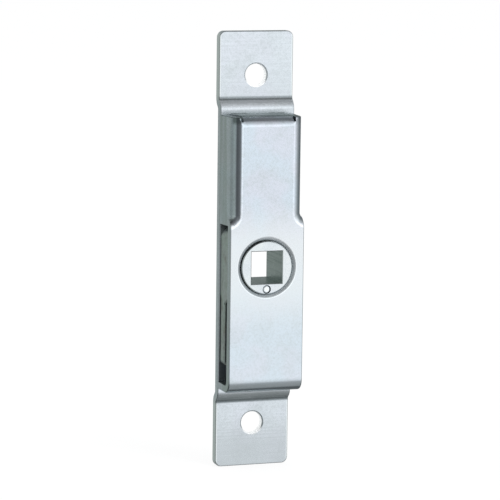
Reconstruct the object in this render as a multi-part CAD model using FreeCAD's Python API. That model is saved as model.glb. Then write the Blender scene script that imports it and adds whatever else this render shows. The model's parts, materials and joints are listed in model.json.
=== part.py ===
import FreeCAD, Part
import os
from math import sin, sqrt, tan

from FreeCAD import Vector

# Rim lock for a cabinet door: a swinging tongue on a square-drive follower, in a pressed steel
# case on a joggled mounting strap.
#
# Frame: X to the right, Z up, and the front of the lock faces -Y. The origin is midway between
# the two screw holes, on the plane that the ears are screwed to. "Depth" below is the distance
# forward from that plane, so a point at depth d has y = -d. All sizes are in millimetres.

# Mounting strap
strap_width = 19.1
strap_thickness = 2.0
joggle_offset = 1.5            # how far the strap's middle stands forward of its ears
joggle_start = 3.85            # from the case's end to where the flat front of an ear ends
ear_flat_length = 16.15         # from there to the strap's end
joggle_inner_radius = 0.8
ear_corner_radius = 1.6
strap_edge_round = 0.3
screw_hole_distance = 5.4      # from where the flat front starts to the screw hole
screw_hole_diameter = 5.5
screw_hole_chamfer = 0.3

# Case, one pressing
case_height = 68.0
case_front_depth = 11.8        # front face above the mounting plane
case_sheet = 1.8
box_rear_inset = 0.05          # from the strap's edge to the closed upper box, at the strap
box_front_inset = 0.7          # the same where the box's side walls would meet the front
box_edge_radius = 2.7
plate_edge_round = 0.35
flap_slit = 0.3                # between the top flap and the side wall beside it
flap_edge_round = 0.6
slit_depth = 1.4               # how far each slit runs down from the top
wall_end_drop = 0.3            # side walls end this far below the top flap
wall_end_round = 0.25
bottom_bend_radius = 2.85
slot_headroom = 0.9            # from the top of the tongue's hub to where the side walls end
shoulder_radius = 1.2          # hollow turn of the box's side line where it runs out to full width

# Follower, turned with a square key hole
follower_height = -3.0
key_square = 8.0
shank_wall = 1.35              # from the key hole to the shank's flats
pin_rim = 0.1                  # from the pin to the disc's edge
spigot_step = 0.2              # the spigot's edge inside the disc's
follower_tail = 1.4            # how far the spigot stands out behind the strap
eye_roll_radius = 1.2          # rolled-in edge of the round eye in the case
eye_clearance = 0.08           # radial, disc in eye
bearing_clearance = 0.05       # radial, spigot in strap
disc_chamfer = 0.2
key_chamfer = 0.15

# Tongue and its hub, one piece
hub_inset = 0.35               # from the strap's edge to the hub's flank
hub_floor = 1.2                # from the pin down to the slope
hub_corner_radius = 2.4
side_play = 0.2                # hub faces to the strap and to the case
shank_play = 0.03              # follower's shank in the hub
blade_thickness = 2.6
blade_tip_clearance = 4.3      # to the bottom flap
blade_corner_radius = 1.5
blade_setback = 0.5            # blade's rear face forward of the hub's rear face
hub_ramp = 1.8                 # height of the slope from hub to blade
hub_ramp_radius = 0.6
tongue_edge_chamfer = 0.3

# Pin that locks follower and hub together, seen at six o'clock on the disc
pin_diameter = 2.1
pin_length = 6.0
pin_chamfer = 0.45
pin_play = 0.01

# Detent spring, one folded strip
spring_strip = 0.5
spring_side_play = 0.55        # spring to strap and to the case's front
spring_end_play = 0.2          # spring to the side walls
spring_folds = 5
spring_toe_radius = 1.2
spring_play = 0.05             # strip to hub flat and to the top wall

# Tenons that hold the case on the strap
tenon_width = 4.0
tenon_margin = 0.55            # from the flap's edge to a tenon
tenon_clearance = 0.05
tenon_head_overhang = 0.5
tenon_head_height = 0.7
tenon_head_corner = 0.6

strap_front_depth = joggle_offset + strap_thickness
case_inner_depth = case_front_depth - case_sheet
case_half = case_height / 2
half_strap = strap_width / 2
wall_lean = (box_front_inset - box_rear_inset) / (case_front_depth - strap_front_depth)
sheet_across = case_sheet * sqrt(1 + wall_lean ** 2)
ear_flat_end = case_half + joggle_start
half_length = ear_flat_end + ear_flat_length
screw_height = ear_flat_end + screw_hole_distance
hub_flat_distance = half_strap - hub_inset      # from the axis to each of the three detent flats
flat_distance = key_square / 2 + shank_wall     # from the axis to the shank's flats and to the pin
disc_radius = flat_distance + pin_diameter / 2 + pin_rim
spigot_radius = disc_radius - spigot_step
hub_foot = follower_height - flat_distance - pin_diameter / 2 - hub_floor
hub_rear_depth = strap_front_depth + side_play
hub_front_depth = case_inner_depth - side_play
blade_rear_depth = hub_rear_depth + blade_setback
hub_top = follower_height + hub_flat_distance
slot_top = hub_top + slot_headroom
tip_height = -case_half + case_sheet + blade_tip_clearance
spring_rear_depth = strap_front_depth + spring_side_play
spring_front_depth = case_inner_depth - spring_side_play
beyond = 5.0                   # how far a cutting shape reaches past what it cuts


def at(x, depth, z):
    return Vector(x, -depth, z)


def front_plane(depth):
    """Places an outline drawn in x and z on the plane at this depth."""
    return lambda u, v: at(u, depth, v)


def side_plane(x):
    """Places an outline drawn in depth and z on the plane at this x."""
    return lambda u, v: at(x, u, v)


def rounded_face(corners, place):
    """Flat face inside straight runs joined by tangent arcs; a corner is (u, v, radius)."""
    turns = []
    for index, (u, v, radius) in enumerate(corners):
        here = Vector(u, v, 0)
        back = Vector(*corners[index - 1][:2], 0) - here
        ahead = Vector(*corners[(index + 1) % len(corners)][:2], 0) - here
        back.normalize()
        ahead.normalize()
        half_angle = back.getAngle(ahead) / 2
        reach = radius / tan(half_angle)
        inward = (back + ahead).normalize()
        middle = here + inward * (radius / sin(half_angle) - radius)
        turns.append([here + back * reach, middle, here + ahead * reach, radius])
    edges = []
    for index, (start, middle, end, radius) in enumerate(turns):
        spots = [place(spot.x, spot.y) for spot in (start, middle, end)]
        if radius > 0:
            edges.append(Part.Arc(*spots).toShape())
        onward = turns[(index + 1) % len(turns)][0]
        if (onward - end).Length > 1e-6:
            edges.append(Part.LineSegment(spots[2], place(onward.x, onward.y)).toShape())
    return Part.Face(Part.Wire(edges))


def prism(corners, rear_depth, front_depth):
    """Front outline (x, z) carried from one depth forward to another."""
    return rounded_face(corners, front_plane(rear_depth)).extrude(at(0, front_depth - rear_depth, 0))


def rectangle(half_width, bottom, top, radius=0.0):
    return [(-half_width, bottom, radius), (half_width, bottom, radius),
            (half_width, top, radius), (-half_width, top, radius)]


def rod(radius, rear_depth, front_depth, x=0.0, z=follower_height):
    return Part.makeCylinder(radius, front_depth - rear_depth, at(x, rear_depth, z), at(0, 1, 0))


def box_half_width(depth):
    """The box's side walls lean in towards the front."""
    return half_strap - box_rear_inset - (depth - strap_front_depth) * wall_lean


def chamber_half_width(depth):
    return box_half_width(depth) - sheet_across


def flap_half_width(depth):
    return chamber_half_width(depth) - flap_slit


def between_walls(half_width, bottom, top, rear_depth, front_depth):
    """Block whose sides lean as the box's walls do; half_width tells how wide it is at a depth."""
    rear, front = half_width(rear_depth), half_width(front_depth)
    corners = [(-rear, rear_depth, 0), (rear, rear_depth, 0),
               (front, front_depth, 0), (-front, front_depth, 0)]
    return rounded_face(corners, lambda x, depth: at(x, depth, bottom)).extrude(Vector(0, 0, top - bottom))


def rolled_hole(radius, roll, rear_depth, front_depth, z):
    """Cutting shape for a round hole whose front edge is rolled in to the given radius."""
    tool = rod(radius, rear_depth - beyond, front_depth + beyond, z=z)
    flare = rod(radius + roll, front_depth - roll, front_depth, z=z)
    lip = Part.makeTorus(radius + roll, roll, at(0, front_depth - roll, z), at(0, 1, 0))
    return tool.fuse(flare.cut(lip))


def edges_where(shape, test):
    """Edges of the shape whose middle point (x, depth, z) passes the test."""
    chosen = []
    for edge in shape.Edges:
        middle = edge.valueAt((edge.FirstParameter + edge.LastParameter) / 2)
        if test(middle.x, -middle.y, middle.z):
            chosen.append(edge)
    return chosen


def joggled_strip():
    """Side outline of the strap, ears back and middle forward, carried across its width."""
    slant = strap_thickness * (sqrt(2) - 1)
    outer = joggle_inner_radius + strap_thickness
    shoulder = ear_flat_end - joggle_inner_radius * (sqrt(2) - 1)
    crown = shoulder - joggle_offset
    upper_front = [(strap_front_depth, crown, outer), (strap_thickness, shoulder, joggle_inner_radius),
                   (strap_thickness, half_length, 0)]
    upper_back = [(0, half_length, 0), (0, shoulder - slant, outer),
                  (joggle_offset, crown - slant, joggle_inner_radius)]
    lower_front = [(depth, -z, radius) for depth, z, radius in reversed(upper_front)]
    lower_back = [(depth, -z, radius) for depth, z, radius in reversed(upper_back)]
    outline = lower_front + upper_front + upper_back + lower_back
    return rounded_face(outline, side_plane(-half_strap)).extrude(Vector(strap_width, 0, 0))


def tenon_places():
    """Middle (x, z) of each tenon: two on the top flap and two on the bottom flap."""
    height = case_half - case_sheet / 2
    offset = flap_half_width(strap_front_depth) - tenon_margin - tenon_width / 2
    return [(x, z) for z in (height, -height) for x in (-offset, offset)]


def tenon_block(place, grow, rear_depth, front_depth, corner=0.0):
    x, z = place
    half_height = case_sheet / 2 + grow
    outline = rectangle(tenon_width / 2 + grow, -half_height, half_height, corner)
    return prism([(x + u, z + v, radius) for u, v, radius in outline], rear_depth, front_depth)


def make_strap():
    blank = prism(rectangle(half_strap, -half_length, half_length, ear_corner_radius),
                  0, strap_front_depth)
    strap = joggled_strip().common(blank)
    long_edges = edges_where(strap, lambda x, depth, z: abs(abs(x) - half_strap) < 1e-3
                             and (depth > strap_front_depth - 1e-3
                                  or (abs(z) > ear_flat_end and depth > strap_thickness - 1e-3)))
    strap = strap.makeFillet(strap_edge_round, long_edges)
    for side in (1, -1):
        strap = strap.cut(rod(screw_hole_diameter / 2, -beyond, beyond, z=side * screw_height))
    mouths = edges_where(strap, lambda x, depth, z: abs(depth - strap_thickness) < 1e-3
                         and abs(abs(z) - screw_height) < screw_hole_diameter and abs(x) < half_strap - 1)
    strap = strap.makeChamfer(screw_hole_chamfer, mouths)
    bearing = rod(spigot_radius + bearing_clearance, -beyond, strap_front_depth + beyond)
    strap = strap.cut(bearing)
    for place in tenon_places():
        strap = strap.cut(tenon_block(place, tenon_clearance, -beyond, strap_front_depth + beyond))
    return strap


def case_form():
    """Outside of the pressing before its sides are trimmed: drawn-in box above, full width below."""
    flare = half_strap + beyond
    shoulder = slot_top + case_sheet
    box = between_walls(box_half_width, 0, case_half, strap_front_depth, case_front_depth)
    lower = prism(rectangle(flare, -case_half, shoulder), strap_front_depth, case_front_depth)
    form = box.fuse(lower).removeSplitter()
    hollows = edges_where(form, lambda x, depth, z: abs(z - shoulder) < 1e-3
                          and abs(abs(x) - box_half_width(depth)) < 1e-3)
    form = form.makeFillet(shoulder_radius, hollows)
    front = case_front_depth - 1e-3
    bottom = edges_where(form, lambda x, depth, z: depth > front and z < -case_half + 1e-3)
    form = form.makeFillet(bottom_bend_radius, bottom)
    rim = edges_where(form, lambda x, depth, z: depth > front and slot_top < z < case_half - 1e-3
                      and abs(x) < flare - 1e-3)
    return form.makeFillet(box_edge_radius, rim)


def split_top(case):
    """Parts the top flap from the side walls: slits beside it, and walls that end a little lower."""
    bend_depth = case_front_depth - box_edge_radius
    behind = strap_front_depth - beyond
    ahead = case_front_depth + beyond
    below = case_half - box_edge_radius - beyond
    profile = [(case_front_depth, below, 0), (case_front_depth, case_half, box_edge_radius),
               (behind, case_half, 0), (behind, below, 0)]
    bent = rounded_face(profile, side_plane(-half_strap)).extrude(Vector(strap_width, 0, 0))
    flap_walls = between_walls(flap_half_width, below - beyond, case_half + beyond,
                               behind - beyond, ahead)
    bent = bent.common(flap_walls)
    flap_edges = edges_where(bent, lambda x, depth, z: abs(x) > flap_half_width(depth) - 0.02
                             and (depth > bend_depth or z > case_half - 1e-3))
    bent = bent.makeFillet(flap_edge_round, flap_edges)
    over = between_walls(chamber_half_width, case_half - slit_depth, case_half + beyond, behind, ahead)
    case = case.cut(over.cut(bent))
    wall_end = case_half - wall_end_drop
    ends = prism(rectangle(half_strap, wall_end, case_half + beyond), behind, ahead)
    case = case.cut(ends.cut(over))
    rims = edges_where(case, lambda x, depth, z: abs(z - wall_end) < 1e-3 and depth > strap_front_depth + 1e-3
                       and abs(x) > chamber_half_width(depth) + 1e-3
                       and (abs(x) > box_half_width(depth) - 1e-3 or depth > bend_depth))
    return case.makeFillet(wall_end_round, rims)


def make_case():
    trim = prism(rectangle(half_strap, -case_half - beyond, case_half + beyond),
                 strap_front_depth, case_front_depth)
    case = split_top(case_form().common(trim))
    blanked = edges_where(case, lambda x, depth, z: abs(x) > half_strap - 1e-3
                          and depth > strap_front_depth + 1e-3 and z < slot_top)
    case = case.makeFillet(plate_edge_round, blanked)
    beside = prism(rectangle(half_strap + beyond, slot_top, case_half + beyond),
                   strap_front_depth - beyond, case_inner_depth)
    walls = between_walls(box_half_width, slot_top - beyond, case_half + 2 * beyond,
                          strap_front_depth - 2 * beyond, case_inner_depth + beyond)
    case = case.cut(beside.cut(walls))
    rear_depth = strap_front_depth - beyond
    chamber = between_walls(chamber_half_width, -case_half + case_sheet, case_half - case_sheet,
                            rear_depth, case_inner_depth)
    opening = prism(rectangle(half_strap + beyond, -case_half + case_sheet, slot_top),
                    rear_depth, case_inner_depth)
    hollow = opening.fuse(chamber).removeSplitter()
    inner_bend = edges_where(hollow, lambda x, depth, z: depth > case_inner_depth - 1e-3
                             and z < -case_half + case_sheet + 1e-3)
    hollow = hollow.makeFillet(bottom_bend_radius - case_sheet, inner_bend)
    case = case.cut(hollow)
    eye_radius = disc_radius + eye_clearance
    case = case.cut(rolled_hole(eye_radius, eye_roll_radius, case_inner_depth, case_front_depth,
                                follower_height))
    for place in tenon_places():
        stem = tenon_block(place, 0, joggle_offset, strap_front_depth)
        head = tenon_block(place, tenon_head_overhang, joggle_offset - tenon_head_height, joggle_offset,
                           tenon_head_corner)
        case = case.fuse([stem, head])
    return case.removeSplitter()


def squared_shank(play, rear_depth, front_depth):
    """Round bar with four flats milled on it, as the follower's shank or the hole that it fits."""
    half = flat_distance + play
    square = prism([(u, v + follower_height, 0) for u, v, _ in rectangle(half, -half, half)],
                   rear_depth, front_depth)
    return rod(disc_radius + play, rear_depth, front_depth).common(square)


def pin_hole(play):
    """Round bar in the line of the pin, half in the shank's lower flat and half in the hub."""
    return rod(pin_diameter / 2 + play, case_front_depth - pin_length, case_front_depth,
               z=follower_height - flat_distance)


def make_follower():
    tail_depth = joggle_offset - follower_tail
    disc = rod(disc_radius, hub_front_depth, case_front_depth)
    disc = disc.makeChamfer(disc_chamfer, edges_where(disc, lambda x, depth, z:
                                                      depth > case_front_depth - 1e-3))
    shank = squared_shank(0, hub_rear_depth, hub_front_depth)
    spigot = rod(spigot_radius, tail_depth, hub_rear_depth)
    half = key_square / 2
    key = prism([(u, v + follower_height, 0) for u, v, _ in rectangle(half, -half, half)],
                tail_depth - beyond, case_front_depth + beyond)
    body = disc.fuse([shank, spigot]).cut(key)
    mouth = edges_where(body, lambda x, depth, z: depth > case_front_depth - 1e-3
                        and max(abs(x), abs(z - follower_height)) < half + 1e-3)
    return body.makeChamfer(key_chamfer, mouth).cut(pin_hole(pin_play)).removeSplitter()


def make_tongue():
    blade_front_depth = blade_rear_depth + blade_thickness
    outline = rectangle(hub_flat_distance, tip_height, hub_top, hub_corner_radius)
    outline[0] = outline[0][:2] + (blade_corner_radius,)
    outline[1] = outline[1][:2] + (blade_corner_radius,)
    bend = hub_ramp_radius
    profile = [(hub_rear_depth, hub_top, 0), (hub_rear_depth, hub_foot, bend),
               (blade_rear_depth, hub_foot - blade_setback, bend), (blade_rear_depth, tip_height, 0),
               (blade_front_depth, tip_height, 0), (blade_front_depth, hub_foot - hub_ramp, bend),
               (hub_front_depth, hub_foot, bend), (hub_front_depth, hub_top, 0)]
    side = rounded_face(profile, side_plane(-hub_flat_distance)).extrude(Vector(2 * hub_flat_distance, 0, 0))
    tongue = side.common(prism(outline, hub_rear_depth, hub_front_depth))
    flank_edges = edges_where(tongue, lambda x, depth, z: abs(x) > hub_flat_distance - 1e-3)
    tongue = tongue.makeChamfer(tongue_edge_chamfer, flank_edges)
    tongue = tongue.cut(squared_shank(shank_play, hub_rear_depth - beyond, hub_front_depth + beyond))
    return tongue.cut(pin_hole(pin_play)).removeSplitter()


def make_pin():
    pin = pin_hole(0)
    ends = edges_where(pin, lambda x, depth, z: depth > case_front_depth - 1e-3)
    return pin.makeChamfer(pin_chamfer, ends)


def make_spring():
    """Strip folded to and fro across the chamber, its first run lying on the hub's upper flat."""
    bottom = hub_top + spring_play + spring_strip / 2
    top = case_half - case_sheet - spring_play - spring_strip / 2
    pitch = (top - bottom) / spring_folds
    bend = pitch / 2
    run_end = chamber_half_width(spring_front_depth) - spring_end_play - bend - spring_strip / 2
    pieces = []

    def ring(radius, x, z):
        outer = rod(radius + spring_strip / 2, spring_rear_depth, spring_front_depth, x, z)
        return outer.cut(rod(radius - spring_strip / 2, spring_rear_depth, spring_front_depth, x, z))

    def window(x_low, x_high, z_low, z_high):
        corners = [(x_low, z_low, 0), (x_high, z_low, 0), (x_high, z_high, 0), (x_low, z_high, 0)]
        return prism(corners, spring_rear_depth - beyond, spring_front_depth + beyond)

    for index in range(spring_folds + 1):
        z = bottom + index * pitch
        run = rectangle(run_end, z - spring_strip / 2, z + spring_strip / 2)
        pieces.append(prism(run, spring_rear_depth, spring_front_depth))
    for index in range(spring_folds):
        side = 1 if index % 2 == 0 else -1
        z = bottom + index * pitch + bend
        x_range = sorted((side * run_end, side * (run_end + 2 * bend)))
        pieces.append(ring(bend, side * run_end, z).common(window(*x_range, z - 2 * bend, z + 2 * bend)))
    last_side = 1 if spring_folds % 2 == 0 else -1
    for side, z, lift in ((-1, bottom, 1), (last_side, top, -1)):
        centre = z + lift * spring_toe_radius
        x_range = sorted((side * run_end, side * (run_end + 2 * spring_toe_radius)))
        z_range = sorted((centre, centre - lift * 2 * spring_toe_radius))
        pieces.append(ring(spring_toe_radius, side * run_end, centre).common(window(*x_range, *z_range)))
    return pieces[0].fuse(pieces[1:]).removeSplitter()


nodes = {
    "mounting_strap": make_strap(),
    "case_cover": make_case(),
    "follower": make_follower(),
    "tongue": make_tongue(),
    "tongue_pin": make_pin(),
    "detent_spring": make_spring(),
}

os.makedirs("parts", exist_ok=True)
for name, shape in nodes.items():
    shape.exportStep("parts/" + name + ".step")
    print(name, "valid", shape.isValid(), "solids", len(shape.Solids), "volume", round(shape.Volume, 2))
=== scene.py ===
import json
from math import cos, radians, sin

import bmesh
import bpy
import numpy as np
from mathutils import Matrix, Vector


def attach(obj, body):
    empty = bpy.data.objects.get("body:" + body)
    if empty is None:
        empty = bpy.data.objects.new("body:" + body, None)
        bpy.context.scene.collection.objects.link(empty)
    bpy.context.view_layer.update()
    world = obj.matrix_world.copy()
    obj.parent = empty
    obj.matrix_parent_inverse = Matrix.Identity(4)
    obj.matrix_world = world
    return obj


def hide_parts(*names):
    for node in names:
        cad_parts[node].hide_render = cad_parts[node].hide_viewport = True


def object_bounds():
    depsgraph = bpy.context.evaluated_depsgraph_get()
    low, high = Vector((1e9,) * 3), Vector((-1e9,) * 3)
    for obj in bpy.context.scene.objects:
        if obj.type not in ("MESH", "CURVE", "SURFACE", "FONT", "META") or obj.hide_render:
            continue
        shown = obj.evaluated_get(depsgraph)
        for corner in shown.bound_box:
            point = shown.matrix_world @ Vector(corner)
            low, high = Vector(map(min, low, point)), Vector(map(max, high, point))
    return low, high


# Cabinet lock with a swinging tongue. Metres, Z up, the lock's front faces -Y.
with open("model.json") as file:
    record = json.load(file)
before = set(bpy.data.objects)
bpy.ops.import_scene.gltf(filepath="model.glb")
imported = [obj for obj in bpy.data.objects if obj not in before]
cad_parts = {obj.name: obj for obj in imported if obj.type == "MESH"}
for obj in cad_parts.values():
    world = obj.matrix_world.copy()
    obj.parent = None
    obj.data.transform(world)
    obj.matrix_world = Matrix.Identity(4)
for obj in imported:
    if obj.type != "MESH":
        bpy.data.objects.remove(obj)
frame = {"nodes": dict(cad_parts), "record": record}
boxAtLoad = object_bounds()
print("frame loaded:", ", ".join(sorted(frame["nodes"])))


# Shader maths as plain expressions: a Signal wraps one socket, and its operators add Math nodes.
class Signal:
    def __init__(self, painter, socket):
        self.painter = painter
        self.socket = socket

    def __add__(self, other): return self.painter.math("ADD", self, other)
    def __radd__(self, other): return self.painter.math("ADD", other, self)
    def __sub__(self, other): return self.painter.math("SUBTRACT", self, other)
    def __rsub__(self, other): return self.painter.math("SUBTRACT", other, self)
    def __mul__(self, other): return self.painter.math("MULTIPLY", self, other)
    def __rmul__(self, other): return self.painter.math("MULTIPLY", other, self)
    def __truediv__(self, other): return self.painter.math("DIVIDE", self, other)
    def __rtruediv__(self, other): return self.painter.math("DIVIDE", other, self)
    def __pow__(self, other): return self.painter.math("POWER", self, other)
    def __rpow__(self, other): return self.painter.math("POWER", other, self)
    def __abs__(self): return self.painter.math("ABSOLUTE", self)


# Adds nodes to one tree; any node comes from node(), which hands back its outputs as Signals.
class Painter:
    def __init__(self, tree):
        self.tree = tree
        tree.nodes.clear()

    # Settings go in first, a ramp's stops and the way between them too, then the sockets' values or links.
    def node(self, kind, settings=None, values=None):
        made = self.tree.nodes.new(kind)
        for key, value in (settings or {}).items():
            if key == "stops":
                self.setStops(made.color_ramp, value)
            elif key == "blend":
                made.color_ramp.interpolation = value
            else:
                setattr(made, key, value)
        for key, value in (values or {}).items():
            self.feed(made.inputs[key], value)
        return [Signal(self, output) for output in made.outputs if output.enabled]

    def feed(self, socket, value):
        if isinstance(value, Signal):
            self.tree.links.new(value.socket, socket)
        else:
            socket.default_value = value

    def setStops(self, ramp, stops):
        while len(ramp.elements) < len(stops):
            ramp.elements.new(1.0)
        for element, (position, colour) in zip(ramp.elements, stops):
            element.position = position
            element.color = (*colour, 1.0)

    def math(self, operation, first, second=0.0):
        return self.node("ShaderNodeMath", {"operation": operation}, {0: first, 1: second})[0]

    # Rises smoothly from 0 to 1 while the signal goes from the first limit to the second.
    def between(self, signal, limits):
        return self.node("ShaderNodeMapRange", {"interpolation_type": "SMOOTHSTEP"},
                         {0: signal, 1: limits[0], 2: limits[1], 3: 0.0, 4: 1.0})[0]

    # Sockets 6 and 7 are the Mix node's two colours.
    def blend(self, mask, first, second, mode="MIX"):
        return self.node("ShaderNodeMix", {"data_type": "RGBA", "blend_type": mode},
                         {0: mask, 6: first, 7: second})[0]

    def noise(self, place, scale, detail, roughness):
        return self.node("ShaderNodeTexNoise", {"noise_dimensions": "3D"},
                         {"Vector": place, "Scale": scale, "Detail": detail, "Roughness": roughness})[0]

    def split(self, vector):
        return self.node("ShaderNodeSeparateXYZ", None, {0: vector})

    # Outputs by name, of a node that takes nothing in.
    def named(self, kind):
        return {signal.socket.name: signal for signal in self.node(kind)}


# Camera: where the photograph was taken from, worked out from the lock's own outlines.
photoCamera = {
    "turn": radians(19.274),       # to the left of the front
    "height": radians(7.916),      # above the level
    "roll": radians(0.712),
    "distance": 0.66942,
    "target": (-0.0024232, -0.006, 0.0006459),
    "focalPixels": 2733.55,        # in a picture of this width in pixels
    "pictureWidth": 500,
    "sensor": 36.0,                # millimetres, as the lens is
    "nearest": 0.01,
}


def placeCamera(facts):
    turn, height, roll = facts["turn"], facts["height"], facts["roll"]
    outward = Vector((-sin(turn) * cos(height), -cos(turn) * cos(height), sin(height)))
    right = (-outward).cross(Vector((0, 0, 1))).normalized()
    up = right.cross(-outward)
    rolledRight = cos(roll) * right + sin(roll) * up
    rolledUp = cos(roll) * up - sin(roll) * right
    lens = bpy.data.cameras.new("photoCamera")
    lens.sensor_width = facts["sensor"]
    lens.lens = facts["focalPixels"] / facts["pictureWidth"] * facts["sensor"]
    lens.clip_start = facts["nearest"]
    camera = bpy.data.objects.new("photoCamera", lens)
    matrix = Matrix((rolledRight, rolledUp, outward)).transposed().to_4x4()
    matrix.translation = Vector(facts["target"]) + outward * facts["distance"]
    camera.matrix_world = matrix
    bpy.context.scene.collection.objects.link(camera)
    bpy.context.scene.camera = camera


placeCamera(photoCamera)
bpy.context.scene.view_settings.view_transform = "Standard"
print("camera placed")


# Surroundings: what the metal mirrors, a colour for each bearing times a level for each height.
# Bearings are in degrees from the front, positive to the left; heights are in degrees above the level.
surroundings = {
    "around": [(-180, (0.46, 0.48, 0.48)), (-150, (0.34, 0.36, 0.36)), (-125, (0.19, 0.20, 0.21)),
               (-104, (0.18, 0.20, 0.205)), (-85, (0.27, 0.29, 0.295)), (-70, (0.43, 0.455, 0.455)),
               (-57, (0.64, 0.67, 0.68)), (-45, (0.86, 0.88, 0.91)), (-32, (1.06, 1.08, 1.10)),
               (-19, (0.82, 0.85, 0.87)), (-9, (1.14, 1.17, 1.18)), (-1, (0.86, 0.88, 0.89)),
               (6, (0.50, 0.51, 0.52)), (14, (0.33, 0.34, 0.35)), (26, (0.26, 0.27, 0.28)),
               (43, (0.19, 0.20, 0.21)), (55, (0.22, 0.24, 0.24)), (66, (0.30, 0.33, 0.32)),
               (80, (0.29, 0.33, 0.31)), (105, (0.24, 0.27, 0.26)), (130, (0.26, 0.29, 0.28)),
               (158, (0.41, 0.445, 0.43)), (180, (0.46, 0.48, 0.48))],
    "frontHeights": [(-90, 0.72), (-60, 0.70), (-40, 0.64), (-26, 0.64), (-17, 0.84), (-12, 1.01),
                     (-4, 1.01), (1, 1.20), (8, 1.30), (14, 1.18), (20, 1.00), (28, 0.80), (36, 0.60),
                     (48, 0.36), (60, 0.16), (76, 0.06), (90, 0.06)],
    "backHeights": [(-90, 0.70), (-50, 0.60), (-30, 0.75), (-10, 0.97), (10, 0.97), (35, 0.90),
                    (52, 1.15), (66, 1.35), (76, 0.60), (84, 0.18), (90, 0.14)],
    "backFrom": (-0.35, 0.35),     # the y of a direction, as the front's heights give way to the back's
    "background": (1.0, 1.0, 1.0, 1.0),
}


def makeWorld(facts):
    world = bpy.data.worlds.new("studio")
    world.use_nodes = True
    bpy.context.scene.world = world
    paint = Painter(world.node_tree)

    # A colour or a grey for each angle, from as far as it goes on one side to as far on the other.
    def ramp(angle, pairs, furthest):
        stops = [((place + furthest) / (2 * furthest), value) for place, value in pairs]
        return paint.node("ShaderNodeValToRGB", {"blend": "EASE", "stops": stops},
                          {0: angle / radians(2 * furthest) + 0.5})[0]

    direction = paint.node("ShaderNodeTexCoord")[0]
    across, along, upward = paint.split(direction)
    bearing = paint.math("ARCTAN2", -1.0 * across, -1.0 * along)
    height = paint.math("ARCSINE", upward)
    around = ramp(bearing, facts["around"], furthest=180)
    levels = []
    for name in ("frontHeights", "backHeights"):
        greys = [(place, (level, level, level)) for place, level in facts[name]]
        levels.append(ramp(height, greys, furthest=90))
    behind = paint.between(along, facts["backFrom"])
    mirrored = paint.blend(1.0, around, paint.blend(behind, *levels), "MULTIPLY")
    path = paint.named("ShaderNodeLightPath")
    inMetal = paint.math("MAXIMUM", path["Is Glossy Ray"], path["Is Transmission Ray"])
    seen = paint.blend(inMetal, facts["background"], mirrored)
    shine = paint.node("ShaderNodeBackground", None, {"Color": seen, "Strength": 1.0})[0]
    paint.node("ShaderNodeOutputWorld", None, {"Surface": shine})


softLamp = {"place": (0.55, -0.95, 0.85), "watts": 9.0, "size": 0.8}


def makeLamp(facts):
    lamp = bpy.data.lights.new("softLamp", "AREA")
    lamp.shape = "DISK"
    lamp.size = facts["size"]
    lamp.energy = facts["watts"]
    holder = bpy.data.objects.new("softLamp", lamp)
    holder.location = facts["place"]
    holder.rotation_euler = Vector(facts["place"]).to_track_quat("Z", "Y").to_euler()  # looks at the origin
    bpy.context.scene.collection.objects.link(holder)
    holder.visible_glossy = False  # the world alone is what the metal mirrors


paleFloor = {
    "colour": (0.86, 0.87, 0.88, 1.0),
    "glowColour": (1.0, 1.0, 1.0, 1.0),
    "glowStrength": 1.02,
    "glowShare": 0.85,             # share of the floor's white that isn't left to the light
    "radius": 6.0,
    "sides": 96,
}


# The floor is a disc level with the lock's lowest point: radius times cosine and sine of even angles.
def makeFloor(facts):
    angles = np.arange(facts["sides"]) * 2 * np.pi / facts["sides"]
    level = np.full(facts["sides"], boxAtLoad[0][2])
    rim = np.stack([facts["radius"] * np.cos(angles), facts["radius"] * np.sin(angles), level], 1)
    mesh = bpy.data.meshes.new("floor")
    mesh.from_pydata(rim.tolist(), [], [list(range(facts["sides"]))])
    floor = bpy.data.objects.new("floor", mesh)
    bpy.context.scene.collection.objects.link(floor)
    floor.visible_glossy = False
    material = bpy.data.materials.new("paleFloor")
    material.use_nodes = True
    paint = Painter(material.node_tree)
    matte = paint.node("ShaderNodeBsdfDiffuse", None, {"Color": facts["colour"]})[0]
    glow = paint.node("ShaderNodeEmission", None,
                      {"Color": facts["glowColour"], "Strength": facts["glowStrength"]})[0]
    share = paint.named("ShaderNodeLightPath")["Is Camera Ray"] * facts["glowShare"]
    mixed = paint.node("ShaderNodeMixShader", None, {0: share, 1: matte, 2: glow})[0]
    paint.node("ShaderNodeOutputMaterial", None, {"Surface": mixed})
    mesh.materials.append(material)


makeWorld(surroundings)
makeLamp(softLamp)
makeFloor(paleFloor)
print("studio lit")


# Plating, the same on all the pieces: pale and lilac patches under soft dull clouds and a fine dull mottle.
# Here and in each piece's own values, colours are linear, scales and grains are counted to the metre, and
# of two limits the first is where a mark starts and the second where it counts in full.
plating = {
    "clouds": {"detail": 4.0, "roughness": 0.6, "limits": (0.42, 0.72), "dulls": 0.34, "roughens": 0.12},
    "mottle": {"detail": 3.0, "roughness": 0.62, "limits": (0.40, 0.66), "dulls": 0.38, "roughens": 0.14},
    "tint": {"detail": 2.0, "roughness": 0.5, "limits": (0.40, 0.62)},
    "tintScale": 0.55,             # times the clouds' own
    "streakRoughness": 0.55,
    "middle": 0.5,                 # what a noise lies round
    "slantTint": (0.72, 0.75, 0.74, 1.0),  # of what the metal mirrors at a slant
}


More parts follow.
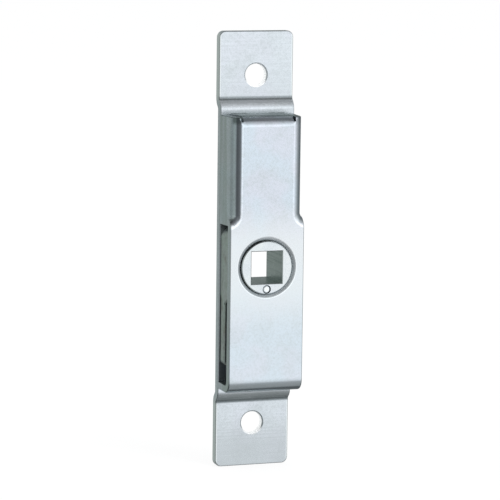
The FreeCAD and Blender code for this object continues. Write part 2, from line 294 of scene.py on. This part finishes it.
# One plated metal, to which its own maker adds marks before it is finished.
class Plate:
    def __init__(self, name, facts):
        self.material = bpy.data.materials.new(name)
        self.material.use_nodes = True
        self.paint = paint = Painter(self.material.node_tree)
        self.bumpHeight = facts["bumpHeight"]
        coordinates = paint.named("ShaderNodeTexCoord")
        self.place, self.facing = coordinates["Object"], coordinates["Normal"]
        tintWay, cloudWay, mottleWay = plating["tint"], plating["clouds"], plating["mottle"]
        clouds = paint.noise(self.place, facts["cloudScale"], cloudWay["detail"], cloudWay["roughness"])
        tint = paint.noise(self.place, facts["cloudScale"] * plating["tintScale"], tintWay["detail"],
                           tintWay["roughness"])
        mottle = paint.noise(self.place, facts["mottleScale"], mottleWay["detail"], mottleWay["roughness"])
        self.colour = paint.blend(paint.between(tint, tintWay["limits"]), facts["pale"], facts["lilac"])
        self.lay(paint.between(clouds, cloudWay["limits"]) * cloudWay["dulls"]
                 + paint.between(mottle, mottleWay["limits"]) * mottleWay["dulls"], facts["dull"])
        self.roughness = (facts["roughness"] + (clouds - plating["middle"]) * cloudWay["roughens"]
                          + (mottle - plating["middle"]) * mottleWay["roughens"])
        self.relief = mottle
        self.metallic = 1.0

    # Lays a colour over what is there, in full where the mask is 1.
    def lay(self, mask, colour):
        self.colour = self.paint.blend(mask, self.colour, colour)

    # Noise drawn out along an axis, with the mark's own count of grains on x, y and z.
    def streaks(self, mark):
        drawnOut = self.paint.node("ShaderNodeMapping", {"vector_type": "POINT"},
                                   {"Vector": self.place, "Scale": mark["grains"]})[0]
        return self.paint.noise(drawnOut, 1.0, mark["detail"], plating["streakRoughness"])

    def finish(self):
        paint = self.paint
        bump = paint.node("ShaderNodeBump", None,
                          {"Strength": 1.0, "Distance": self.bumpHeight, "Height": self.relief})[0]
        metal = paint.node("ShaderNodeBsdfPrincipled", None,
                           {"Base Color": self.colour, "Metallic": self.metallic, "Roughness": self.roughness,
                            "Normal": bump, "Specular Tint": plating["slantTint"]})[0]
        paint.node("ShaderNodeOutputMaterial", None, {"Surface": metal})
        return self.material


# Distance from an axis, given how far across from it and how far above it a point is.
def reachFrom(across, rise):
    return (across * across + rise * rise) ** 0.5


keyHeight = -0.003  # of the follower's axis

# The case's values. Heights, depths, reaches and places across are in metres, and a rise is a height above
# the key's axis. Slants, fronts and unders are parts of the surface's normal: how far it points sideways or
# along the axis, to the front (negative) and down (negative).
caseFinish = {
    "pale": (0.79, 0.87, 0.95, 1.0),
    "lilac": (0.83, 0.855, 0.94, 1.0),
    "dull": (0.62, 0.67, 0.69, 1.0),
    "cloudScale": 210.0,
    "mottleScale": 1500.0,
    "roughness": 0.17,
    "bumpHeight": 0.000004,        # of the mottle's grains, in metres
    "squareOn": (0.80, 0.97),      # slant of a side wall or of a flap
    "left": (0.001, -0.001),       # places across, towards the left half
    "wallStreaks": {"grains": (900.0, 420.0, 12.0), "detail": 3.0, "limits": (0.40, 0.62), "share": 0.70,
                    "colour": (0.50, 0.57, 0.53, 1.0)},
    "wallRear": {"depth": (-0.0085, -0.0045), "share": 0.22, "colour": (0.42, 0.48, 0.46, 1.0)},
    "wallRoughens": 0.12,
    "flapShadeAndStreaks": {"grains": (30.0, 1300.0, 1300.0), "detail": 2.0, "limits": (0.38, 0.65), "share": 0.80,
                    "streakShare": 0.15, "colour": (0.24, 0.29, 0.28, 1.0)},
    "flapRoughens": 0.15,
    "eyeHighlight": {"rise": (0.0175, 0.004), "share": 0.75, "colour": (0.98, 1.0, 1.0, 1.0)},
    "eyeRim": {"reach": (0.0080, 0.0077), "slant": (0.992, 0.94), "left": (0.002, -0.004), "share": 0.52,
               "leftShare": 0.30, "colour": (0.34, 0.38, 0.40, 1.0), "roughens": 0.30, "lessMetal": 0.15},
    "lowerFace": {"rise": (0.002, -0.012), "share": 0.25, "colour": (0.88, 0.97, 1.0, 1.0)},
    "lowerBend": {"height": (-0.0303, -0.0326), "front": (0.0, -0.2), "share": 0.86,
                  "under": (-0.35, -0.80), "underShare": 0.60, "colour": (0.23, 0.26, 0.26, 1.0)},
    "sideBends": {"slantFrom": (0.16, 0.32), "slantTo": (0.70, 0.54), "height": (0.0075, 0.0095),
                  "front": (0.0, -0.4), "share": 0.12, "leftShare": 0.62, "colour": (0.20, 0.22, 0.23, 1.0)},
    "slitFeet": {"across": (0.0060, 0.0068), "height": (0.0316, 0.0328), "share": 0.35, "leftShare": 0.40,
                 "colour": (0.16, 0.19, 0.19, 1.0)},
}


# Drawn steel case: upright draw marks on its side walls, which are darker towards their rear as painted
# shade; the flaps are painted dark as shade, with level draw marks.
def makeCasePlate(facts):
    plate = Plate("casePlate", facts)
    paint = plate.paint
    across, depth, height = paint.split(plate.place)
    sideways, backward, upward = paint.split(plate.facing)
    rise = height - keyHeight
    onWall = paint.between(abs(sideways), facts["squareOn"])
    onFlap = paint.between(abs(upward), facts["squareOn"])
    left = paint.between(across, facts["left"])
    mark = facts["wallStreaks"]
    drawn = paint.between(plate.streaks(mark), mark["limits"])
    plate.lay(onWall * drawn * mark["share"], mark["colour"])
    # Painted shade: the side walls darken towards their rear, near the strap.
    mark = facts["wallRear"]
    plate.lay(onWall * paint.between(depth, mark["depth"]) * mark["share"], mark["colour"])
    # Painted shade: the flaps are laid mostly dark, with level draw marks over it.
    mark = facts["flapShadeAndStreaks"]
    drawn = paint.between(plate.streaks(mark), mark["limits"])
    plate.lay(onFlap * (mark["share"] + drawn * mark["streakShare"]), mark["colour"])
    plate.roughness = plate.roughness + onWall * facts["wallRoughens"] + onFlap * facts["flapRoughens"]
    # Painted highlight round the eye and painted paler light below it; the eye's rolled rim is rougher and
    # less metallic, and painted dark as shade, more on the left.
    mark = facts["eyeHighlight"]
    plate.lay(paint.between(abs(rise), mark["rise"]) * mark["share"] * (1.0 - onWall), mark["colour"])
    # Painted shade on the eye's rolled rim, more on its left.
    mark = facts["eyeRim"]
    eyeRim = paint.between(reachFrom(across, rise), mark["reach"])
    eyeRim = eyeRim * paint.between(abs(backward), mark["slant"])
    leftRim = paint.between(across, mark["left"])
    plate.lay(eyeRim * (mark["share"] + leftRim * mark["leftShare"]), mark["colour"])
    plate.roughness = plate.roughness + eyeRim * mark["roughens"]
    plate.metallic = 1.0 - eyeRim * mark["lessMetal"]
    # Painted paler light on the face below the eye.
    mark = facts["lowerFace"]
    plate.lay(paint.between(rise, mark["rise"]) * mark["share"] * (1.0 - onWall), mark["colour"])
    # The bend under the case and the bends beside it are painted grey as shade, the left one most.
    mark = facts["lowerBend"]
    lowerBendShade = paint.between(height, mark["height"]) * paint.between(backward, mark["front"]) * mark["share"]
    plate.lay(lowerBendShade * (1.0 - paint.between(upward, mark["under"]) * mark["underShare"]), mark["colour"])
    mark = facts["sideBends"]
    onBend = paint.between(abs(sideways), mark["slantFrom"]) * paint.between(abs(sideways), mark["slantTo"])
    onBend = onBend * paint.between(height, mark["height"]) * paint.between(backward, mark["front"])
    plate.lay(onBend * (mark["share"] + left * mark["leftShare"]), mark["colour"])
    # Painted shade at the feet of the slits beside the top flap, more of it on the left.
    mark = facts["slitFeet"]
    slitFootShade = paint.between(abs(across), mark["across"]) * paint.between(height, mark["height"])
    plate.lay(slitFootShade * (mark["share"] + left * mark["leftShare"]) * (1.0 - onWall), mark["colour"])
    return plate.finish()


# The strap's values, in the case's terms. Away is how far above or below the lock's middle a place is.
strapFinish = {
    "pale": (0.83, 0.88, 0.92, 1.0),
    "lilac": (0.84, 0.87, 0.93, 1.0),
    "dull": (0.60, 0.64, 0.66, 1.0),
    "cloudScale": 170.0,
    "mottleScale": 1700.0,
    "roughness": 0.20,
    "bumpHeight": 0.0000025,
    "upperHalf": (0.0, 0.001),
    "lowerHalf": (0.0, -0.001),
    "lowerEar": {"height": (-0.0400, -0.0500), "share": 0.66, "roughens": 0.07},
    "upperEar": {"height": (0.0450, 0.0385), "share": 0.20},
    "rolled": {"grains": (45.0, 1500.0, 2400.0), "detail": 3.0, "limits": (0.36, 0.70), "share": 0.24,
               "earShare": 0.26, "relief": 0.5},
    "scratches": {"grains": (28.0, 900.0, 3400.0), "detail": 1.0, "limits": (0.60, 0.68), "share": 0.55},
    "mouth": {"away": 0.04325, "reach": (0.00313, 0.00305), "slant": (0.98, 0.90), "share": 0.45,
              "lowerShare": 0.50, "colour": (0.40, 0.44, 0.46, 1.0), "roughens": 0.3, "lessMetal": 0.15},
    "lowerLip": {"slant": (0.20, 0.50), "colour": (0.96, 0.97, 0.98, 1.0), "lessMetal": 0.55},
    "holeWall": {"slant": (0.5, 0.3), "colour": (0.97, 0.98, 0.98, 1.0), "lessMetal": 0.80},
    "edgeHighlight": {"across": (0.0090, 0.0093), "away": (0.036, 0.039), "colour": (0.96, 1.0, 1.0, 1.0)},
    "underCaseShade": {"away": (0.0335, 0.0330), "across": (0.0094, 0.0092), "front": (-0.5, -0.9), "share": 0.46,
              "colour": (0.13, 0.16, 0.16, 1.0), "roughens": 0.15},
    "stepped": {"from": (0.0340, 0.0346), "to": (0.0390, 0.0382), "slant": (0.15, 0.50), "roughens": 0.24,
                "lessMetal": 0.16},
    "underShade": {"under": (-0.02, -0.35), "share": 0.85, "colour": (0.27, 0.30, 0.30, 1.0)},
    "creaseShade": {"from": (0.0370, 0.0373), "to": (0.0382, 0.0378), "front": (-0.2, -0.5), "share": 0.72,
               "colour": (0.18, 0.21, 0.22, 1.0)},
}


# Rolled strip: fine level rolling lines, and a lower ear that grows darker and rougher towards the bottom,
# with scratches from use.
def makeStrapPlate(facts):
    plate = Plate("strapPlate", facts)
    paint = plate.paint
    across, _, height = paint.split(plate.place)
    _, backward, upward = paint.split(plate.facing)
    away = abs(height)
    onLowerEar = paint.between(height, facts["lowerEar"]["height"])
    onUpperEar = paint.between(height, facts["upperEar"]["height"])
    onUpperEar = onUpperEar * paint.between(height, facts["upperHalf"])
    mark = facts["rolled"]
    rolled = plate.streaks(mark)
    plate.lay(paint.between(rolled, mark["limits"]) * (mark["share"] + onLowerEar * mark["earShare"]),
              facts["dull"])
    plate.relief = plate.relief * (1.0 - mark["relief"]) + rolled * mark["relief"]
    mark = facts["scratches"]
    plate.lay(paint.between(plate.streaks(mark), mark["limits"]) * onLowerEar * mark["share"], facts["dull"])
    ears = onLowerEar * facts["lowerEar"]["share"] + onUpperEar * facts["upperEar"]["share"]
    plate.lay(ears, facts["dull"])
    plate.roughness = plate.roughness + onLowerEar * facts["lowerEar"]["roughens"]
    # The punched walls of the screw holes are pale and matt; their mouths are painted dark as shade, more on
    # the lower hole, but for a painted highlight on the lit lower lip.
    mark = facts["mouth"]
    mouth = paint.between(reachFrom(across, away - mark["away"]), mark["reach"])
    mouth = mouth * paint.between(abs(backward), mark["slant"])
    holeWall = mouth * paint.between(abs(backward), facts["holeWall"]["slant"])
    lowerLip = mouth * paint.between(upward, facts["lowerLip"]["slant"])
    lowerHalf = paint.between(height, facts["lowerHalf"])
    plate.lay(mouth * (mark["share"] + lowerHalf * mark["lowerShare"]), mark["colour"])
    plate.lay(lowerLip, facts["lowerLip"]["colour"])
    plate.lay(holeWall, facts["holeWall"]["colour"])
    # The long edges of the ears get a painted highlight, and the front under the case is painted dark as
    # shade.
    mark = facts["edgeHighlight"]
    plate.lay(paint.between(abs(across), mark["across"]) * paint.between(away, mark["away"]), mark["colour"])
    # Painted shade on the strap's front under the case.
    mark = facts["underCaseShade"]
    underCaseShade = paint.between(away, mark["away"]) * paint.between(abs(across), mark["across"])
    underCaseShade = underCaseShade * paint.between(backward, mark["front"])
    plate.lay(underCaseShade * mark["share"], mark["colour"])
    # The stepped bends are a little rougher than the flats, with painted shade underneath and in their outer
    # crease.
    mark = facts["stepped"]
    stepped = paint.between(away, mark["from"]) * paint.between(away, mark["to"])
    shadedUnder = stepped * paint.between(upward, facts["underShade"]["under"])
    plate.lay(shadedUnder * facts["underShade"]["share"], facts["underShade"]["colour"])
    stepped = stepped * paint.between(abs(upward), mark["slant"])
    # Painted shade in the outer crease of the stepped bends.
    mark = facts["creaseShade"]
    creaseShade = paint.between(away, mark["from"]) * paint.between(away, mark["to"])
    plate.lay(creaseShade * paint.between(backward, mark["front"]) * mark["share"], mark["colour"])
    plate.metallic = (1.0 - mouth * facts["mouth"]["lessMetal"] - lowerLip * facts["lowerLip"]["lessMetal"]
                      - holeWall * facts["holeWall"]["lessMetal"] - stepped * facts["stepped"]["lessMetal"])
    plate.roughness = (plate.roughness + mouth * facts["mouth"]["roughens"]
                       + underCaseShade * facts["underCaseShade"]["roughens"] + stepped * facts["stepped"]["roughens"])
    return plate.finish()


followerFinish = {
    "pale": (0.97, 1.0, 1.0, 1.0),
    "lilac": (0.95, 0.97, 1.0, 1.0),
    "dull": (0.76, 0.81, 0.83, 1.0),
    "cloudScale": 260.0,
    "mottleScale": 2100.0,
    "roughness": 0.15,
    "bumpHeight": 0.000002,
    "rings": {"scale": 3200.0, "detail": 2.0, "limits": (0.42, 0.70), "share": 0.16, "relief": 0.4},
    "holeWall": {"inside": (0.00405, 0.00401), "slant": (0.5, 0.2), "grains": (2600.0, 60.0, 2600.0),
                 "detail": 2.0, "limits": (0.4, 0.7), "share": 0.72, "streakShare": 0.2,
                 "colour": (0.34, 0.40, 0.38, 1.0), "roughens": 0.15},
}


# Turned follower: rings about its axis on the face, broach marks and painted shade on the walls of the square
# hole.
def makeFollowerSteel(facts):
    plate = Plate("followerSteel", facts)
    paint = plate.paint
    across, _, height = paint.split(plate.place)
    _, backward, _ = paint.split(plate.facing)
    rise = height - keyHeight
    mark = facts["rings"]
    rings = paint.node("ShaderNodeTexNoise", {"noise_dimensions": "1D"},
                       {"W": reachFrom(across, rise), "Scale": mark["scale"], "Detail": mark["detail"]})[0]
    plate.lay(paint.between(rings, mark["limits"]) * mark["share"], facts["dull"])
    plate.relief = plate.relief * (1.0 - mark["relief"]) + rings * mark["relief"]
    # Painted shade on the square hole's walls, with broach streaks over it.
    mark = facts["holeWall"]
    fromAxis = paint.math("MAXIMUM", abs(across), abs(rise))
    wall = paint.between(fromAxis, mark["inside"]) * paint.between(abs(backward), mark["slant"])
    broached = paint.between(plate.streaks(mark), mark["limits"])
    plate.lay(wall * (mark["share"] + broached * mark["streakShare"]), mark["colour"])
    plate.roughness = plate.roughness + wall * mark["roughens"]
    return plate.finish()


tongueFinish = {
    "pale": (0.58, 0.66, 0.62, 1.0),
    "lilac": (0.60, 0.64, 0.63, 1.0),
    "dull": (0.36, 0.39, 0.36, 1.0),
    "cloudScale": 420.0,
    "mottleScale": 1500.0,
    "roughness": 0.34,
    "bumpHeight": 0.000006,
    "stains": {"grains": (700.0, 700.0, 240.0), "detail": 3.0, "limits": (0.52, 0.74), "share": 0.5,
               "colour": (0.30, 0.25, 0.18, 1.0), "roughens": 0.15},
}


# Tongue: dull and blotchy, with brown oil stains.
def makeTongueSteel(facts):
    plate = Plate("tongueSteel", facts)
    mark = facts["stains"]
    stains = plate.streaks(mark)
    plate.lay(plate.paint.between(stains, mark["limits"]) * mark["share"], mark["colour"])
    plate.roughness = plate.roughness + (stains - plating["middle"]) * mark["roughens"]
    return plate.finish()


pinFinish = {
    "pale": (0.80, 0.86, 0.90, 1.0),
    "lilac": (0.80, 0.83, 0.88, 1.0),
    "dull": (0.55, 0.58, 0.60, 1.0),
    "cloudScale": 700.0,
    "mottleScale": 2600.0,
    "roughness": 0.20,
    "bumpHeight": 0.000003,
    "drawn": {"grains": (1800.0, 300.0, 1800.0), "detail": 2.0, "limits": (0.42, 0.70), "share": 0.3},
    "height": -0.00835,            # of the pin's own axis
    "outerShadeColour": (0.25, 0.28, 0.29, 1.0),
    "crown": {"reach": (0.00086, 0.00070), "colour": (0.84, 0.87, 0.89, 1.0), "lessMetal": 0.6},
}


# Drawn wire or strip, with nothing but its draw marks.
def makeDrawnSteel(name, facts):
    plate = Plate(name, facts)
    mark = facts["drawn"]
    plate.lay(plate.paint.between(plate.streaks(mark), mark["limits"]) * mark["share"], facts["dull"])
    return plate


# Pin: a painted highlight over the crown of its end, and painted shade round it.
def makePinSteel(facts):
    plate = makeDrawnSteel("pinSteel", facts)
    paint = plate.paint
    across, _, height = paint.split(plate.place)
    mark = facts["crown"]
    crown = paint.between(reachFrom(across, height - facts["height"]), mark["reach"])
    # Painted shade outside the crown, then a painted highlight over the crown.
    plate.lay(1.0 - crown, facts["outerShadeColour"])
    plate.lay(crown, mark["colour"])
    plate.metallic = 1.0 - crown * mark["lessMetal"]
    return plate.finish()


springFinish = {
    "pale": (0.34, 0.39, 0.46, 1.0),
    "lilac": (0.40, 0.40, 0.44, 1.0),
    "dull": (0.22, 0.24, 0.27, 1.0),
    "cloudScale": 240.0,
    "mottleScale": 1800.0,
    "roughness": 0.30,
    "bumpHeight": 0.000002,
    "drawn": {"grains": (90.0, 90.0, 90.0), "detail": 2.0, "limits": (0.42, 0.70), "share": 0.3},
}


def makeSpringSteel(facts):
    return makeDrawnSteel("springSteel", facts).finish()


# Joined things get one label: each takes the lowest number among its neighbours, until none changes.
def joinLabels(count, first, second):
    label = np.arange(count)
    while not np.array_equal(label[first], label[second]):
        low = np.minimum(label[first], label[second])
        np.minimum.at(label, first, low)
        np.minimum.at(label, second, low)
        label = label[label]
    return label


shading = {
    "sharpAngle": radians(20),     # an edge that turns more than this stays sharp
    "flatAngle": radians(0.3),     # facets that turn less than this are one flat
    "weldDistance": 1e-7,
    "leastSize": 1e-18,            # of an area or two sides' product: a sliver must not divide by nothing
    "leastSum": 1e-30,             # of a corner's weighed normals, for the same reason
}


# Normals of a solid made of triangles: a corner takes the mean of the facets that go on smoothly from it,
# each weighed by its angle there and by the square of the area of the whole flat that it lies in.
def evenNormals(mesh, facts):
    count = len(mesh.polygons)
    corners = np.empty(count * 3, np.int32)
    mesh.loops.foreach_get("vertex_index", corners)
    points = np.empty(len(mesh.vertices) * 3)
    mesh.vertices.foreach_get("co", points)
    spots = points.reshape(-1, 3)[corners].reshape(count, 3, 3)
    crossed = np.cross(spots[:, 1] - spots[:, 0], spots[:, 2] - spots[:, 0])
    area = np.maximum(np.linalg.norm(crossed, axis=1), facts["leastSize"])
    facing = crossed / area[:, None]
    ahead = np.roll(spots, -1, axis=1) - spots
    back = np.roll(spots, 1, axis=1) - spots
    lengths = np.maximum(np.linalg.norm(ahead, axis=2) * np.linalg.norm(back, axis=2), facts["leastSize"])
    angle = np.arccos(np.clip((ahead * back).sum(2) / lengths, -1, 1)).ravel()
    # An edge's two sides have the same pair of end points, so they come together when the pairs are sorted.
    start = corners.astype(np.int64)
    end = np.roll(start.reshape(count, 3), -1, axis=1).ravel()
    edge = np.minimum(start, end) * len(mesh.vertices) + np.maximum(start, end)
    order = np.argsort(edge, kind="stable")
    paired = edge[order][1:] == edge[order][:-1]
    one, other = order[:-1][paired], order[1:][paired]
    turn = np.arccos(np.clip((facing[one // 3] * facing[other // 3]).sum(1), -1, 1))
    flat = turn < facts["flatAngle"]
    patch = joinLabels(count, one[flat] // 3, other[flat] // 3)
    patchArea = np.bincount(patch, area, count)[patch]
    smooth = turn < facts["sharpAngle"]
    nextOne = one // 3 * 3 + (one + 1) % 3
    nextOther = other // 3 * 3 + (other + 1) % 3
    fan = joinLabels(count * 3, np.concatenate([one[smooth], nextOne[smooth]]),
                     np.concatenate([nextOther[smooth], other[smooth]]))
    weight = angle * np.repeat(patchArea ** 2, 3)
    summed = [np.bincount(fan, weight * np.repeat(facing[:, axis], 3), count * 3)[fan] for axis in range(3)]
    normals = np.stack(summed, 1)
    normals /= np.maximum(np.linalg.norm(normals, axis=1), facts["leastSum"])[:, None]
    mesh.shade_smooth()
    mesh.normals_split_custom_set(normals.tolist())


# The top flap's bend, in metres: it runs on below the slits beside it, where the solid is still flat.
topBend = {
    "front": 0.0118,
    "top": 0.0340,
    "radius": 0.0027,
    "slitFoot": 0.0326,
    "rows": 6,                     # level cuts from the bend's start up to the slits' foot
    "columns": 24,                 # strips between the upright cuts
    "flatHalf": 0.0059,            # half the width that is rounded in full
    "wallFrom": 0.0076,            # and where the rounding has run out
    "flapHalf": 0.0069,            # half the width of the flap, which is round already above the slits' foot
    "deepest": 0.0103,             # what lies nearer the strap than this stays as it is
    "margin": 1e-6,
    "cutDistance": 1e-7,
    "mergeDistance": 2e-5,
}


# Every point of the case's front between the bend's start and the slits' foot goes back to the arc
# front - radius + sqrt(radius^2 - rise^2), less and less from the flat's edge to the side wall.
def roundTopBend(mesh, facts):
    start, radius, margin = facts["top"] - facts["radius"], facts["radius"], facts["margin"]
    shape = bmesh.new()
    shape.from_mesh(mesh)
    angles = np.linspace(0, np.arcsin((facts["slitFoot"] - start) / radius), facts["rows"])
    cuts = [(Vector((0, 0, start + radius * np.sin(angle))), Vector((0, 0, 1))) for angle in angles]
    cuts += [(Vector((place, 0, 0)), Vector((1, 0, 0)))
             for place in np.linspace(-facts["wallFrom"], facts["wallFrom"], facts["columns"] + 1)]
    for spot, normal in cuts:
        near = []
        for face in shape.faces:
            heights = [vert.co.z for vert in face.verts]
            inFront = min(vert.co.y for vert in face.verts) < -facts["deepest"]
            wholly = normal.z > 0 or min(heights) > start - margin  # upright cuts leave what reaches lower
            if inFront and wholly and max(heights) > start + margin:
                near.append(face)
        edges = dict.fromkeys(edge for face in near for edge in face.edges)
        verts = dict.fromkeys(vert for face in near for vert in face.verts)
        bmesh.ops.bisect_plane(shape, geom=[*verts, *edges, *near], plane_co=spot, plane_no=normal,
                               dist=facts["cutDistance"])
    bmesh.ops.triangulate(shape, faces=shape.faces)
    shape.to_mesh(mesh)
    points = np.empty(len(mesh.vertices) * 3)
    mesh.vertices.foreach_get("co", points)
    points = points.reshape(-1, 3)
    across, ahead, rise = np.abs(points[:, 0]), -points[:, 1], points[:, 2] - start
    share = np.clip((facts["wallFrom"] - across) / (facts["wallFrom"] - facts["flatHalf"]), 0, 1)
    share = share * share * (3 - 2 * share)  # eased at both ends
    back = radius - np.sqrt(np.maximum(radius ** 2 - np.clip(rise, 0, None) ** 2, 0))
    rounded = facts["front"] - share * back
    onFlap = (points[:, 2] > facts["slitFoot"] + margin) & (across < facts["flapHalf"])
    moved = (rise > 0) & ~onFlap & (ahead > rounded) & (ahead > facts["deepest"])
    points[moved, 1] = -rounded[moved]
    mesh.vertices.foreach_set("co", points.ravel())
    shape.clear()
    shape.from_mesh(mesh)
    bmesh.ops.remove_doubles(shape, verts=shape.verts, dist=facts["mergeDistance"])
    bmesh.ops.dissolve_degenerate(shape, edges=shape.edges, dist=margin)
    bmesh.ops.triangulate(shape, faces=shape.faces)
    shape.to_mesh(mesh)
    shape.free()


# Node, piece, material and slot of each skin, and the bend that has to be rounded on the case alone.
skins = [
    ("mounting_strap", "strapSkin", makeStrapPlate(strapFinish), "strap_zinc", None),
    ("case_cover", "caseSkin", makeCasePlate(caseFinish), "case_zinc", topBend),
    ("follower", "followerSkin", makeFollowerSteel(followerFinish), "follower_steel", None),
    ("tongue", "tongueSkin", makeTongueSteel(tongueFinish), "tongue_steel", None),
    ("tongue_pin", "pinSkin", makePinSteel(pinFinish), "pin_steel", None),
    ("detent_spring", "springSkin", makeSpringSteel(springFinish), "spring_steel", None),
]


# A skin is a merged copy of the node's solid, smooth over its bends and sharp at its cut edges.
def dressNode(nodeName, pieceName, material, slotName, bend):
    mesh = frame["nodes"][nodeName].data.copy()
    mesh.name = pieceName
    piece = bpy.data.objects.new(pieceName, mesh)
    bpy.context.scene.collection.objects.link(piece)
    welded = bmesh.new()
    welded.from_mesh(mesh)
    bmesh.ops.remove_doubles(welded, verts=welded.verts, dist=shading["weldDistance"])
    bmesh.ops.triangulate(welded, faces=welded.faces)
    welded.to_mesh(mesh)
    welded.free()
    if bend:
        roundTopBend(mesh, bend)
    evenNormals(mesh, shading)
    mesh.materials.clear()
    mesh.materials.append(material)
    bodies = frame["record"]["behaviour"]["bodies"]
    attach(piece, next(body for body, nodes in bodies.items() if nodeName in nodes))
    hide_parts(nodeName)


for skin in skins:
    dressNode(*skin)
print("pieces dressed")
